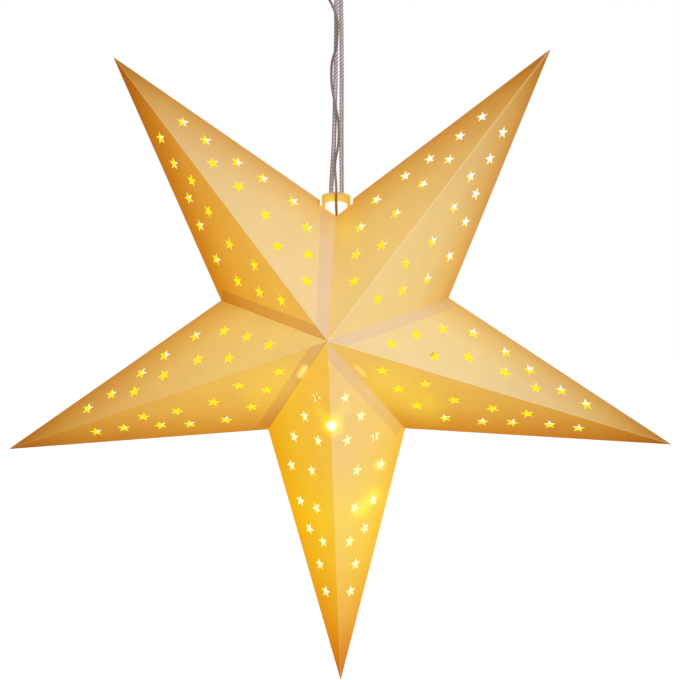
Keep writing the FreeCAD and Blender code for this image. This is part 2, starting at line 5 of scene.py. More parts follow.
import bpy
from mathutils import Matrix, Vector


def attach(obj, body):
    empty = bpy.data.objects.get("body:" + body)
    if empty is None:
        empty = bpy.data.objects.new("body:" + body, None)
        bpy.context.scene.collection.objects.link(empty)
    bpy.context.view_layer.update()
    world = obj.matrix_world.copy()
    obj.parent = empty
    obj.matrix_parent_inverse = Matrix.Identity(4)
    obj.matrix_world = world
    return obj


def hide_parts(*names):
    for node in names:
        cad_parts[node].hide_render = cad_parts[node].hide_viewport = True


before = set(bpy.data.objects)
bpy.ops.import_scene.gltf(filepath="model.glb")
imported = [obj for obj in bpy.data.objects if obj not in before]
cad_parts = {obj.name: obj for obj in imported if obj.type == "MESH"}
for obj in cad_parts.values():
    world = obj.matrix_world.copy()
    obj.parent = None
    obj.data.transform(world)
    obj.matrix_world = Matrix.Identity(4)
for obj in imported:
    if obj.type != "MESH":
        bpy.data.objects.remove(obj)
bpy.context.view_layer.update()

MM = 1000.0                 # in a metre

# The star, from the CAD source's sizes
STAR_CENTRE = Vector((0.0, 0.0, -0.4))
STAR_RADIUS = 0.300
STAR_HALF_DEPTH = 0.085
NOTCH_RADIUS = 0.101
TOP_NOTCH_RADIUS = 0.103
POINT_PITCH = 71.0          # degrees, as the next angle is
BOTTOM_ANGLE = 271.5
FLAP_WIDTH = 0.0105
CLOSING_FLAP_WIDTH = 0.014
CARD_NAMES = ["card_upper_left", "card_lower_left", "card_bottom", "card_lower_right", "card_upper_right"]
BOTTOM_CARD = CARD_NAMES.index("card_bottom")

# The photograph's camera
CAMERA_PLACE = Vector((0.14004, -1.9886, -0.23928))
CAMERA_YAW = math.radians(3.906)
CAMERA_PITCH = math.radians(-4.784)
CAMERA_ROLL = math.radians(0.592)
CAMERA_LENS = 124.57        # mm, as the sensor's width is
CAMERA_SENSOR = 36.0
NEAREST_SEEN = 0.05
FARTHEST_SEEN = 200.0


def star_point(x, y, z):
    """Point of the row frame, from millimetres about the star's centre."""
    return STAR_CENTRE + Vector((x, y, z)) / MM


def add_camera():
    data = bpy.data.cameras.new("camera")
    data.lens = CAMERA_LENS
    data.sensor_width = CAMERA_SENSOR
    data.clip_start = NEAREST_SEEN
    data.clip_end = FARTHEST_SEEN
    camera = bpy.data.objects.new("camera", data)
    aim = (
        Matrix.Rotation(CAMERA_YAW, 4, "Z")
        @ Matrix.Rotation(math.pi / 2 + CAMERA_PITCH, 4, "X")
        @ Matrix.Rotation(CAMERA_ROLL, 4, "Z")
    )
    camera.matrix_world = Matrix.Translation(CAMERA_PLACE) @ aim
    bpy.context.scene.collection.objects.link(camera)
    bpy.context.scene.camera = camera


add_camera()


# ---------------------------------------------------------------- cords

CORD_DIAMETER = 0.0038
KNIT_RIBS = 4               # of stitches, round the cord
KNIT_STITCH = 0.0030        # along the cord
KNIT_BOW = 0.35             # of a stitch, between the middle of a rib and its edges
KNIT_RELIEF = 0.00030
KNIT_CROWN = 0.00022        # that the crowns of the stitches add to the cord's diameter
KNIT_STEP = 0.00034         # between two rings of the mesh
KNIT_SIDES = 36
KNIT_LAY = 0.0121           # length in which the twisted part of the cord turns once
STRAIGHT_LENGTH = 0.100     # of each leg, from its lower end
LOOSE_KNIT = (0.6, 0.5)     # share that the stitches have in the relief, and the power that shapes a rib
TWISTED_KNIT = (0.2, 1.1)

FLEX_WIDTH = 0.0022
FLEX_WIRE = 0.00115         # each of the two wires, across
FLEX_CORNERS = 20           # of its section, a multiple of 4
FLEX_WAIST = 0.62           # its thickness between the wires, as a share of a wire's
FLEX_GROOVE = 0.16          # half the groove between the wires, as a share of the flex's width
LEAD_STEP = 0.0006          # between two rings of the mesh, outside the star and inside it
STRING_STEP = 0.0008

ROUTE_ORDER = 3             # of a route's spline, and its steps from one point to the next
ROUTE_RESOLUTION = 24
LEG_OFFSET = 1.95           # mm, of each leg from the middle where they are tied

# Control points of the cords' lines, in millimetres about the star's centre
HANGING_ROUTE = [
    (-4.5, 0, 114), (-4.5, 0, 126), (-2.6, 0, 156), (-1.8, 0, 205), (-1.5, 0, 255), (-LEG_OFFSET, 0, 285),
    (-LEG_OFFSET, 0, 330), (-12, 0, 366), (-12, 0, 401.9), (12, 0, 401.9), (12, 0, 366), (LEG_OFFSET, 0, 330),
    (LEG_OFFSET, 0, 285), (2.9, 0, 255), (3.6, 0, 205), (3.9, 0, 156), (4.5, 0, 126), (4.5, 0, 114),
]
LEAD_ROUTE = [
    (-12, 12.6, 300), (-12, 12.6, 291), (-11, 5.5, 284.5), (-7, -1.4, 280), (-3.8, -3.4, 273.5), (0, -3.6, 264),
    (-0.2, -3.5, 252), (-1, -3.5, 240), (-5.1, -3, 229), (-5.2, -2.6, 214), (-4, -3.4, 204),
    (-0.9, -4.2, 190.5), (1.7, -4.4, 178), (1.8, -4.2, 159.5), (-1.6, -4.5, 144), (-0.4, -6.2, 131.5),
    (0.6, -10, 122.5), (0.4, -10.2, 113), (0.3, -5.6, 106.5), (0.3, -0.9, 100.5), (0.3, -0.2, 92),
]
STRING_ROUTE = [
    (0.3, -0.2, 92), (4, -9, 36), (-30, -38, 0), (-14, -51, -47), (9, -46, -88), (19, -19, -132),
    (33, 4, -126), (36, 2, -84), (29, -32, -50), (32, -49, -4), (69, -21, 19), (98, 6, -18), (52, 26, -34),
]
RUNS_WITHOUT_LIGHT = [5, 10]    # of the string, counted from 0


def spline_points(route):
    """The line of a cord: the points of a NURBS spline with the route's points as its control points."""
    data = bpy.data.curves.new("route", "CURVE")
    data.dimensions = "3D"
    data.resolution_u = ROUTE_RESOLUTION
    spline = data.splines.new("NURBS")
    spline.points.add(len(route) - 1)
    for point, place in zip(spline.points, route):
        point.co = (*star_point(*place), 1.0)
    spline.order_u = ROUTE_ORDER
    spline.use_endpoint_u = True
    curve = bpy.data.objects.new("route", data)
    mesh = bpy.data.meshes.new_from_object(curve)
    points = [vertex.co.copy() for vertex in mesh.vertices]
    bpy.data.objects.remove(curve)
    bpy.data.meshes.remove(mesh)
    bpy.data.curves.remove(data)
    return points


def evenly(points, step):
    """Points a step apart along a line, with the line's own ends."""
    lengths = [0.0]
    for before, after in zip(points, points[1:]):
        lengths.append(lengths[-1] + (after - before).length)
    count = max(2, round(lengths[-1] / step))
    places = []
    at = 0
    for index in range(count + 1):
        reach = lengths[-1] * index / count
        while at < len(points) - 2 and lengths[at + 1] < reach:
            at += 1
        share = (reach - lengths[at]) / (lengths[at + 1] - lengths[at])
        places.append(points[at].lerp(points[at + 1], share))
    return places


def line_length(points):
    return sum((after - before).length for before, after in zip(points, points[1:]))


def directions(points):
    """Direction of the line at each of its points."""
    last = len(points) - 1
    return [(points[min(i + 1, last)] - points[max(i - 1, 0)]).normalized() for i in range(last + 1)]


def carried_sides(points, first_side):
    """A side at each point, square to the line and carried along it without twist."""
    sides = []
    side = Vector(first_side)
    for along in directions(points):
        side = (side - along * side.dot(along)).normalized()
        sides.append(side.copy())
    return sides


def swept_mesh(name, points, sides, section):
    """Closed mesh swept along points. section(index, reach) gives the ring's (across, out) pairs, where reach is
    the length of the line up to that point."""
    rings = []
    reach = 0.0
    for index, place in enumerate(points):
        if index:
            reach += (place - points[index - 1]).length
        rings.append(section(index, reach))
    vertices = []
    for place, along, side, ring in zip(points, directions(points), sides, rings):
        out = along.cross(side)
        vertices += [place + side * a + out * b for a, b in ring]
    count = len(rings[0])
    last = (len(rings) - 1) * count
    faces = []
    for start in range(0, last, count):
        for corner in range(count):
            following = (corner + 1) % count
            faces.append((start + corner, start + following, start + count + following, start + count + corner))
    faces.append(tuple(reversed(range(count))))
    faces.append(tuple(range(last, last + count)))
    mesh = bpy.data.meshes.new(name)
    mesh.from_pydata(vertices, [], faces)
    mesh.update()
    mesh.shade_smooth()
    piece = bpy.data.objects.new(name, mesh)
    bpy.context.scene.collection.objects.link(piece)
    return piece


def keep_height(piece, heights):
    """Stores a height of relief, 0 to 1, at each point of a piece's mesh."""
    layer = piece.data.attributes.new("relief", "FLOAT", "POINT")
    for entry, height in zip(layer.data, heights):
        entry.value = height


def knit_height(turn, reach, beading, power):
    """Height of a knitted cord's surface, 0 to 1, at a turn round it (0 to 1) and a length along it. beading is the
    share that its stitches have in the relief, and a low power makes its ribs full. The middle of a rib lies at
    turn 0, and ribs side by side are half a stitch apart."""
    rib = KNIT_RIBS * turn + 0.5
    across = abs(math.sin(math.pi * rib))
    shift = 0.5 * (math.floor(rib) % 2)
    stitch = abs(math.sin(math.pi * (reach / KNIT_STITCH + shift + KNIT_BOW * across)))
    return across ** power * (1.0 - beading + beading * stitch)


def knitted_piece(name, points, side, diameter, twist):
    """Cord with the relief of its knit. twist(reach, length) gives the turns that the ribs have made by there, and
    the knit's beading and power."""
    rings = evenly(points, KNIT_STEP)
    length = line_length(rings)
    heights = []

    def section(index, reach):
        ring = []
        turned, knit = twist(reach, length)
        for corner in range(KNIT_SIDES):
            turn = corner / KNIT_SIDES
            height = knit_height(turn - turned, reach, *knit)
            heights.append(height)
            radius = (diameter + KNIT_CROWN) / 2 - KNIT_RELIEF * (1 - height)
            angle = 2 * math.pi * turn
            ring.append((radius * math.cos(angle), radius * math.sin(angle)))
        return ring

    piece = swept_mesh(name, rings, carried_sides(rings, side), section)
    keep_height(piece, heights)
    return piece


def cord_twist(reach, length):
    """The lower end of each leg hangs straight. Above it the cord is twisted and its stitches close up."""
    from_end = min(reach, length - reach)
    turned = max(0.0, from_end - STRAIGHT_LENGTH) / KNIT_LAY
    half = max(0.0, length / 2 - STRAIGHT_LENGTH) / KNIT_LAY
    knit = LOOSE_KNIT if from_end < STRAIGHT_LENGTH else TWISTED_KNIT
    return (turned if reach < length / 2 else 2 * half - turned), knit


def no_twist(reach, length):
    return 0.0, LOOSE_KNIT


def flex_ring():
    """Section of two wires side by side in one jacket, which is drawn in between them."""
    offset = (FLEX_WIDTH - FLEX_WIRE) / 2
    radius = FLEX_WIRE / 2
    ring = []
    for corner in range(FLEX_CORNERS):
        angle = 2 * math.pi * corner / FLEX_CORNERS
        across, out = radius * math.cos(angle), radius * math.sin(angle)
        if corner % (FLEX_CORNERS // 2) == FLEX_CORNERS // 4:
            ring.append((across, out * FLEX_WAIST))
        else:
            ring.append((across + math.copysign(offset, across), out))
    return ring


def flex_piece(name, line):
    """Flat flex, with the groove between its wires marked as low relief."""
    ring = flex_ring()
    piece = swept_mesh(name, line, carried_sides(line, (1, 0, 0)), lambda index, reach: ring)
    relief = [1.0 if abs(across) > FLEX_WIDTH * FLEX_GROOVE else 0.0 for across, out in ring]
    keep_height(piece, relief * len(line))
    return piece


hanging_line = spline_points(HANGING_ROUTE)
hanging_cord = knitted_piece("cord_braid", hanging_line, (0, 1, 0), CORD_DIAMETER, cord_twist)
lead_line = evenly(spline_points(LEAD_ROUTE), LEAD_STEP)
lead_flex = flex_piece("flex_lead", lead_line)
string_line = evenly(spline_points(STRING_ROUTE), STRING_STEP)
string_flex = flex_piece("flex_string", string_line)


# ---------------------------------------------------------------- knot and lights

KNOT_BOTTOM = 296.0         # mm above the star's centre
KNOT_HEIGHT = 12.0          # mm
KNOT_TURNS = 4
KNOT_STEPS = 12             # in each turn
KNOT_CORD = 0.0027

SLEEVE_LENGTH = 0.005
SLEEVE_DIAMETER = 0.0042
SLEEVE_SHAPE = [  # shares of its half length, from its middle, and of its diameter
    (-1.0, 0.78), (-0.97, 0.86), (-0.85, 0.93), (-0.55, 1.0), (0.0, 0.97), (0.55, 1.0), (0.85, 0.93), (0.97, 0.86),
    (1.0, 0.78),
]
LENS_DIAMETER = 0.0034
LENS_REACH = 0.0045
LENS_SIDE_SHARE = 0.2       # how far a lens turns sideways with its place
LENS_SHAPE = [  # shares of its length, from the flex's middle, and of its diameter
    (0.20, 1.12), (0.28, 1.12), (0.30, 1.0), (0.50, 1.0), (0.72, 1.0), (0.84, 0.9), (0.93, 0.66), (0.98, 0.36),
    (1.0, 0.08),
]
LIGHT_SIDES = 20


def knot_route():
    """Wraps round both legs of the cord, one on the other."""
    leg_radius = CORD_DIAMETER / 2 * MM
    wrap_radius = KNOT_CORD / 2 * MM
    half_width = LEG_OFFSET + leg_radius + wrap_radius
    half_depth = leg_radius + wrap_radius
    low = KNOT_BOTTOM + wrap_radius
    rise = KNOT_HEIGHT - KNOT_CORD * MM
    steps = KNOT_STEPS * KNOT_TURNS
    route = []
    for step in range(steps + 1):
        turn = 2 * math.pi * KNOT_TURNS * step / steps
        route.append((half_width * math.cos(turn), half_depth * math.sin(turn), low + rise * step / steps))
    return route


def light_frames():
    """Middle, direction and lens direction of each light, as the CAD source places them."""
    frames = []
    for run, (first, second) in enumerate(zip(STRING_ROUTE, STRING_ROUTE[1:])):
        if run in RUNS_WITHOUT_LIGHT:
            continue
        start, end = Vector(first), Vector(second)
        middle = (start + end) / 2
        along = (end - start).normalized()
        outward = Vector((middle.x * LENS_SIDE_SHARE, middle.y, 0))
        outward = (outward - along * outward.dot(along)).normalized()
        frames.append((star_point(*middle), along, outward))
    return frames


def turned_piece(name, place, direction, length, diameter, shape):
    """Round piece along a direction. shape gives its places and widths, as shares of the length and the diameter."""
    points = [place + direction * (length * share) for share, width in shape]
    radii = [diameter / 2 * width for share, width in shape]
    side = direction.orthogonal().normalized()

    def section(index, reach):
        turns = [2 * math.pi * corner / LIGHT_SIDES for corner in range(LIGHT_SIDES)]
        return [(radii[index] * math.cos(turn), radii[index] * math.sin(turn)) for turn in turns]

    return swept_mesh(name, points, [side] * len(points), section)


def sleeve(place, along):
    """Shrunk sleeve: fuller over the joint, drawn in at both ends."""
    return turned_piece("sleeve", place, along, SLEEVE_LENGTH / 2, SLEEVE_DIAMETER, SLEEVE_SHAPE)


def lens(place, outward):
    """Small lamp body with a collar and a domed end."""
    tip = SLEEVE_DIAMETER / 2 + LENS_REACH - LENS_DIAMETER / 4
    return turned_piece("lens", place, outward, tip, LENS_DIAMETER, LENS_SHAPE)


def joined(name, pieces):
    """One object from several."""
    for piece in bpy.context.selected_objects:
        piece.select_set(False)
    for piece in pieces:
        piece.select_set(True)
    bpy.context.view_layer.objects.active = pieces[0]
    bpy.ops.object.join()
    pieces[0].name = name
    return pieces[0]


LIGHTS = light_frames()
cord_knot = knitted_piece("cord_wrapping", spline_points(knot_route()), (0, 0, 1), KNOT_CORD, no_twist)
led_sleeves = joined("light_sleeves", [sleeve(place, along) for place, along, outward in LIGHTS])
led_lenses = joined("light_lenses", [lens(place, outward) for place, along, outward in LIGHTS])


# ---------------------------------------------------------------- materials

class Nodes:
    """Node tree of one material, with short calls for the nodes that the surfaces here use."""

    def __init__(self, name):
        self.material = bpy.data.materials.new(name)
        self.material.use_nodes = True
        self.tree = self.material.node_tree
        self.shader = self.tree.nodes["Principled BSDF"]

    def add(self, kind, *inputs, **settings):
        node = self.tree.nodes.new(kind)
        for key, value in settings.items():
            setattr(node, key, value)
        for socket, value in zip(node.inputs, inputs):
            self.feed(socket, value)
        return node

    def feed(self, socket, value):
        if isinstance(value, bpy.types.NodeSocket):
            self.tree.links.new(value, socket)
        elif value is not None:
            socket.default_value = value

    def math(self, operation, first, second=None, third=None, clamp=False):
        return self.add("ShaderNodeMath", first, second, third, operation=operation, use_clamp=clamp).outputs[0]

    def dot(self, first, second):
        return self.add("ShaderNodeVectorMath", first, second, operation="DOT_PRODUCT").outputs["Value"]

    def distance(self, first, second):
        return self.add("ShaderNodeVectorMath", first, second, operation="DISTANCE").outputs["Value"]

    def offset(self, vector, by):
        return self.add("ShaderNodeVectorMath", vector, by, operation="ADD").outputs["Vector"]

    def scaled(self, vector, by):
        return self.add("ShaderNodeVectorMath", vector, by, operation="MULTIPLY").outputs["Vector"]

    def between(self, value, low, high, to_low=0.0, to_high=1.0, smooth=True):
        """The run of a value from low to high, brought to the run from to_low to to_high and held beyond it."""
        kind = "SMOOTHSTEP" if smooth else "LINEAR"
        node = self.add("ShaderNodeMapRange", value, low, high, to_low, to_high, interpolation_type=kind)
        return node.outputs["Result"]

    def ramp(self, value, stops):
        """Colour that runs through (position, (r, g, b)) stops."""
        node = self.add("ShaderNodeValToRGB", value)
        elements = node.color_ramp.elements
        while len(elements) < len(stops):
            elements.new(0.5)
        for element, (place, colour) in zip(elements, stops):
            element.position = place
            element.color = (*colour, 1.0)
        return node.outputs["Color"]

    def mix(self, share, first, second, blend="MIX"):
        node = self.add("ShaderNodeMix", data_type="RGBA", blend_type=blend)
        colours = [socket for socket in node.inputs if socket.type == "RGBA"]
        self.feed(node.inputs[0], share)
        self.feed(colours[0], with_alpha(first))
        self.feed(colours[1], with_alpha(second))
        return next(socket for socket in node.outputs if socket.type == "RGBA")

    def tinted(self, colour, tint):
        return self.mix(1.0, colour, tint, "MULTIPLY")

    def noise(self, vector, scale, detail=3.0, roughness=0.5):
        node = self.add("ShaderNodeTexNoise")
        self.feed(node.inputs["Vector"], vector)
        node.inputs["Scale"].default_value = scale
        node.inputs["Detail"].default_value = detail
        node.inputs["Roughness"].default_value = roughness
        return node.outputs["Fac"]

    def grey(self, value):
        return self.add("ShaderNodeCombineColor", value, value, value).outputs["Color"]

    def place(self):
        """Object coordinates, which are the row frame for every piece here."""
        return self.add("ShaderNodeTexCoord").outputs["Object"]

    def normal(self):
        return self.add("ShaderNodeTexCoord").outputs["Normal"]

    def relief(self):
        """The height that keep_height stored."""
        return self.add("ShaderNodeAttribute", attribute_name="relief").outputs["Fac"]

    def bump(self, height, strength, distance):
        node = self.add("ShaderNodeBump")
        node.inputs["Strength"].default_value = strength
        node.inputs["Distance"].default_value = distance
        self.feed(node.inputs["Height"], height)
        self.feed(self.shader.inputs["Normal"], node.outputs["Normal"])

    def surface(self, **values):
        """Sets the shader's sockets, named with _ for a space."""
        for name, value in values.items():
            socket = self.shader.inputs[name.replace("_", " ")]
            self.feed(socket, with_alpha(value) if socket.type == "RGBA" else value)
        return self.material


def with_alpha(colour):
    return (*colour, 1.0) if isinstance(colour, tuple) and len(colour) == 3 else colour


def from_screen(red, green, blue):
    """Linear colour from 0-255 screen values."""
    shares = [value / 255.0 for value in (red, green, blue)]
    return tuple(s / 12.92 if s <= 0.04045 else ((s + 0.055) / 1.055) ** 2.4 for s in shares)


def dress(piece, material):
    piece.data.materials.clear()
    piece.data.materials.append(material)


# ---------------------------------------------------------------- paper

# What is seen on faces turned away from the lamp and toward it, from the star's outline to its middle
DARK_FACE = [
    (0.0, from_screen(205, 124, 14)),
    (0.10, from_screen(214, 138, 24)),
    (0.30, from_screen(228, 162, 48)),
    (0.70, from_screen(233, 177, 68)),
    (1.0, from_screen(227, 178, 78)),
]
LIGHT_FACE = [
    (0.0, from_screen(222, 168, 88)),
    (0.10, from_screen(234, 189, 110)),
    (0.30, from_screen(238, 205, 141)),
    (0.70, from_screen(240, 208, 150)),
    (1.0, from_screen(238, 204, 150)),
]
BOTTOM_DARK_FACE = [
    (0.0, from_screen(236, 166, 12)),
    (0.13, from_screen(239, 178, 22)),
    (0.30, from_screen(241, 186, 42)),
    (0.60, from_screen(242, 190, 62)),
    (1.0, from_screen(241, 189, 74)),
]
BOTTOM_LIGHT_FACE = [
    (0.0, from_screen(250, 198, 76)),
    (0.13, from_screen(250, 210, 100)),
    (0.30, from_screen(247, 210, 128)),
    (0.60, from_screen(244, 209, 140)),
    (1.0, from_screen(243, 207, 148)),
]
# Paper colour with painted shade on faces turned away from the lamp and painted light on faces turned to it
SHADED_FACE_PAPER = [(0.0, (0.22, 0.12, 0.008)), (0.3, (0.22, 0.15, 0.03)), (1.0, (0.22, 0.17, 0.07))]
LIT_FACE_PAPER = [(0.0, (0.30, 0.23, 0.08)), (0.3, (0.32, 0.29, 0.22)), (1.0, (0.32, 0.29, 0.25))]
DARK_LIGHT_LEVEL = 0.36     # what the lamps give a face turned away, and one turned to them
FULL_LIGHT_LEVEL = 0.97
LAMP_ANGLE = 40.0           # degrees, the way the light faces turn, seen from the front
FACE_TURN = 0.737           # share of a face's normal that points sideways

# How both colours change from the star's middle to a tip: painted shade near the tip, painted light nearer the middle
ARM_PAINTED_SHADING = [
    (0.0, (1.04, 1.04, 1.04)), (0.35, (1.0, 1.0, 1.0)), (0.50, (0.95, 0.93, 0.94)), (0.65, (0.89, 0.82, 0.82)),
    (0.80, (0.81, 0.73, 0.60)), (0.92, (0.68, 0.53, 0.25)), (1.0, (0.58, 0.42, 0.12)),
]
BOTTOM_PAINTED_SHADING = [
    (0.0, (1.0, 1.0, 1.0)), (0.35, (1.0, 1.0, 1.0)), (0.50, (1.06, 1.13, 0.70)), (0.65, (1.02, 1.0, 0.68)),
    (0.80, (0.93, 0.76, 0.56)), (0.92, (0.78, 0.49, 0.32)), (1.0, (0.66, 0.36, 0.20)),
]
CARD_GLOW = {  # tint of what shines through each card
    "card_upper_left": (1.0, 1.0, 1.0),
    "card_lower_left": (1.02, 1.09, 1.02),
    "card_bottom": (1.0, 1.0, 1.0),
    "card_lower_right": (1.0, 1.07, 1.12),
    "card_upper_right": (1.0, 1.10, 1.36),
}
CLOUD_SHADES = (0.965, 1.035)   # least and most that the card's clouds and fibres leave of the glow
FIBRE_SHADES = (0.985, 1.015)

# The card's outer and inner sides, by how far the plane of a face lies from the star's centre
OUTER_REACH = 0.0585
INNER_REACH = -0.0578
REACH_SLACK = 0.0040
CUT_EDGE_GLOW = from_screen(255, 226, 84)
# cut edges and inner faces get this dark paper colour: painted shade
SHADED_EDGE_AND_INNER_PAPER = (0.10, 0.08, 0.03)
INNER_GLOW = {
    "card_upper_left": from_screen(255, 230, 20),
    "card_lower_left": from_screen(255, 232, 24),
    "card_bottom": from_screen(255, 249, 190),
    "card_lower_right": from_screen(255, 232, 24),
    "card_upper_right": from_screen(255, 226, 30),
}
INNER_WHITE = from_screen(255, 252, 214)
INNER_WHITE_REACH = 0.034
INNER_WHITE_SHARE = 0.75

# Painted shadows: bands where a flap glued behind the paper holds back the light from inside
FLAP_SHADOW_ON_SHADED_FACE = (0.83, 0.73, 0.95)
FLAP_SHADOW_ON_LIT_FACE = (0.87, 0.82, 1.12)
FLAP_SHADOW_PAPER_TINT = (1.0, 0.98, 1.14)
FLAP_NOTCH_MARGIN = 0.003
SOFT_EDGE = 0.0003

# Folds: half width and tint of the painted line in a valley, half width and strength of the painted highlight on each
# ridge
SHADED_BANDED_VALLEY = (0.0007, (0.76, 0.66, 0.62))
LIT_OPEN_VALLEY = (0.0016, (1.05, 1.10, 0.96))
VALLEY_CORE = 0.3           # of its half width
RIDGE_CORE = 0.0001
RIDGE_HIGHLIGHT_LINE = {
    "card_upper_left": (0.0005, 0.2),
    "card_lower_left": (0.0005, 0.15),
    "card_bottom": (0.0005, 0.15),
    "card_lower_right": (0.0006, 0.25),
    "card_upper_right": (0.0009, 0.36),
}
# colour of the painted highlight along each ridge
RIDGE_HIGHLIGHT_COLOUR = from_screen(240, 204, 160)

# Bright spots where a light lies close behind the front paper, seen from the front: ends (x, z) in mm, half width
# of the hot core and reach of the halo in metres, strength and colour of the halo
GLOW_YELLOW = from_screen(255, 232, 20)
GLOW_PALE = from_screen(255, 240, 120)
GLOW_SPOTS = [
    ((2.0, -72.0), (2.0, -72.0), 0.0036, 0.0135, 1.0, GLOW_YELLOW),
    ((-8.0, -60.0), (2.0, -70.0), 0.0, 0.008, 0.26, GLOW_YELLOW),
    ((11.0, -59.0), (2.0, -70.0), 0.0, 0.008, 0.2, GLOW_YELLOW),
    ((40.3, -110.6), (40.3, -110.6), 0.0017, 0.0085, 0.55, GLOW_YELLOW),
    ((24.0, -149.0), (35.0, -136.0), 0.0, 0.0095, 0.6, GLOW_YELLOW),
    ((-25.0, -31.5), (-20.5, -24.5), 0.0, 0.0046, 0.75, GLOW_PALE),
    ((22.5, -23.5), (28.5, -30.5), 0.0, 0.0034, 0.45, GLOW_PALE),
    ((-60.0, -48.0), (-42.0, -38.0), 0.0, 0.026, 0.18, GLOW_YELLOW),
    ((46.0, -38.0), (78.0, -56.0), 0.0, 0.028, 0.26, GLOW_YELLOW),
    ((8.0, 90.0), (8.0, 90.0), 0.0, 0.022, 0.16, GLOW_YELLOW),
]
HOT_WHITE = (1.3, 1.3, 1.15)
HOT_EDGE = (0.7, 1.4)       # where the hot core starts to fade and where it ends, as shares of its half width


def at_angle(degrees):
    turn = math.radians(degrees)
    return Vector((math.cos(turn), 0.0, math.sin(turn)))


def tip_angle(index):
    return BOTTOM_ANGLE + (index - BOTTOM_CARD) * POINT_PITCH


def notch_of(index, side):
    """Notch beside a point: side +1 is the one after it, anticlockwise, and -1 the one before."""
    top = (index == 0 and side < 0) or (index == len(CARD_NAMES) - 1 and side > 0)
    if top:
        return at_angle(90.0) * TOP_NOTCH_RADIUS
    return at_angle(tip_angle(index) + side * POINT_PITCH / 2) * NOTCH_RADIUS


def at_stop(stops, place):
    """Colour of a list of stops at a place."""
    for (low, first), (high, second) in zip(stops, stops[1:]):
        if place <= high:
            share = (place - low) / (high - low)
            return tuple(a + (b - a) * share for a, b in zip(first, second))
    return stops[-1][1]


def glow_stops(face, paper, level):
    """What shines through: the face as it is seen, less what its paper reflects of the lamps."""
    stops = []
    for place, colour in face:
        reflected = at_stop(paper, place)
        stops.append((place, tuple(max(0.0, seen - level * own) for seen, own in zip(colour, reflected))))
    return stops


def distance_to_segment(nodes, flat, start, end):
    """Distance, seen from the front, from a place to the straight line between two points."""
    start, end = (Vector((x, 0.0, z)) / MM for x, z in (start, end))
    run = end - start
    if start == end:
        return nodes.distance(flat, tuple(start))
    offset = nodes.offset(flat, tuple(-start))
    share = nodes.math("MULTIPLY", nodes.dot(offset, tuple(run)), 1.0 / run.length_squared, clamp=True)
    nearest = nodes.add("ShaderNodeVectorMath", tuple(run), operation="SCALE")
    nodes.feed(nearest.inputs["Scale"], share)
    return nodes.distance(offset, nearest.outputs["Vector"])


def card_bands(index):
    """Valleys of a card that have a flap behind them: side, and the flap's width at the notch."""
    bands = []
    if index < len(CARD_NAMES) - 1:
        bands.append((1, FLAP_WIDTH))
    if index == 0:
        bands.append((-1, CLOSING_FLAP_WIDTH))
    return bands


def flap_shadow_mask(nodes, folded, index, side, notch_width):
    """1 over the flap behind a valley, with soft edges. folded is the place with its Y turned to the front."""
    notch = notch_of(index, side)
    apex = Vector((0.0, -STAR_HALF_DEPTH, 0.0))
    ridge = at_angle(tip_angle(index))
    tip = ridge * STAR_RADIUS
    along = (apex - notch).normalized()
    inward = (tip - notch) - along * (tip - notch).dot(along)
    inward.normalize()
    from_notch = nodes.offset(folded, tuple(-notch))
    reach = nodes.dot(from_notch, tuple(along))
    width = nodes.between(reach, 0.0, (apex - notch).length, notch_width, FLAP_WIDTH, smooth=False)
    over = nodes.math("SUBTRACT", nodes.dot(from_notch, tuple(inward)), width)
    # mask of the painted shadow that the flap casts
    mask = nodes.between(over, -SOFT_EDGE, SOFT_EDGE, 1.0, 0.0)
    started = nodes.between(reach, FLAP_NOTCH_MARGIN - SOFT_EDGE, FLAP_NOTCH_MARGIN + SOFT_EDGE)
    toward = (notch - ridge * notch.dot(ridge)).normalized()
    on_side = nodes.math("GREATER_THAN", nodes.dot(folded, tuple(toward)), 0.0)
    return nodes.math("MULTIPLY", nodes.math("MULTIPLY", mask, started), on_side)


def crease_distance(nodes, place, direction):
    """Distance from the plane that holds the star's axis and a fold."""
    across = Vector((-direction.z, 0.0, direction.x)).normalized()
    return nodes.math("ABSOLUTE", nodes.dot(place, tuple(across)))


def face_colours(nodes, card, lamp_facing, depth, along_point):
    """What shines through a card and its paper's colour, both with painted light and shade."""
    dark_face, light_face, fading = DARK_FACE, LIGHT_FACE, ARM_PAINTED_SHADING
    if card == CARD_NAMES[BOTTOM_CARD]:
        dark_face, light_face, fading = BOTTOM_DARK_FACE, BOTTOM_LIGHT_FACE, BOTTOM_PAINTED_SHADING
    glow = nodes.mix(
        lamp_facing, nodes.ramp(depth, glow_stops(dark_face, SHADED_FACE_PAPER, DARK_LIGHT_LEVEL)),
        nodes.ramp(depth, glow_stops(light_face, LIT_FACE_PAPER, FULL_LIGHT_LEVEL)))
    paper = nodes.mix(lamp_facing, nodes.ramp(depth, SHADED_FACE_PAPER), nodes.ramp(depth, LIT_FACE_PAPER))
    fade = nodes.ramp(along_point, fading)
    return nodes.tinted(nodes.tinted(glow, CARD_GLOW[card]), fade), nodes.tinted(paper, fade)


def with_flap_shadows(nodes, glow, paper, index, folded, lamp_facing):
    """Both colours with painted shadows in the bands where flaps lie behind the valleys."""
    flap_shadow_tint = nodes.mix(lamp_facing, FLAP_SHADOW_ON_SHADED_FACE, FLAP_SHADOW_ON_LIT_FACE)
    for side, notch_width in card_bands(index):
        mask = flap_shadow_mask(nodes, folded, index, side, notch_width)
        glow = nodes.mix(mask, glow, nodes.tinted(glow, flap_shadow_tint))
        paper = nodes.mix(mask, paper, nodes.tinted(paper, FLAP_SHADOW_PAPER_TINT))
    return glow, paper


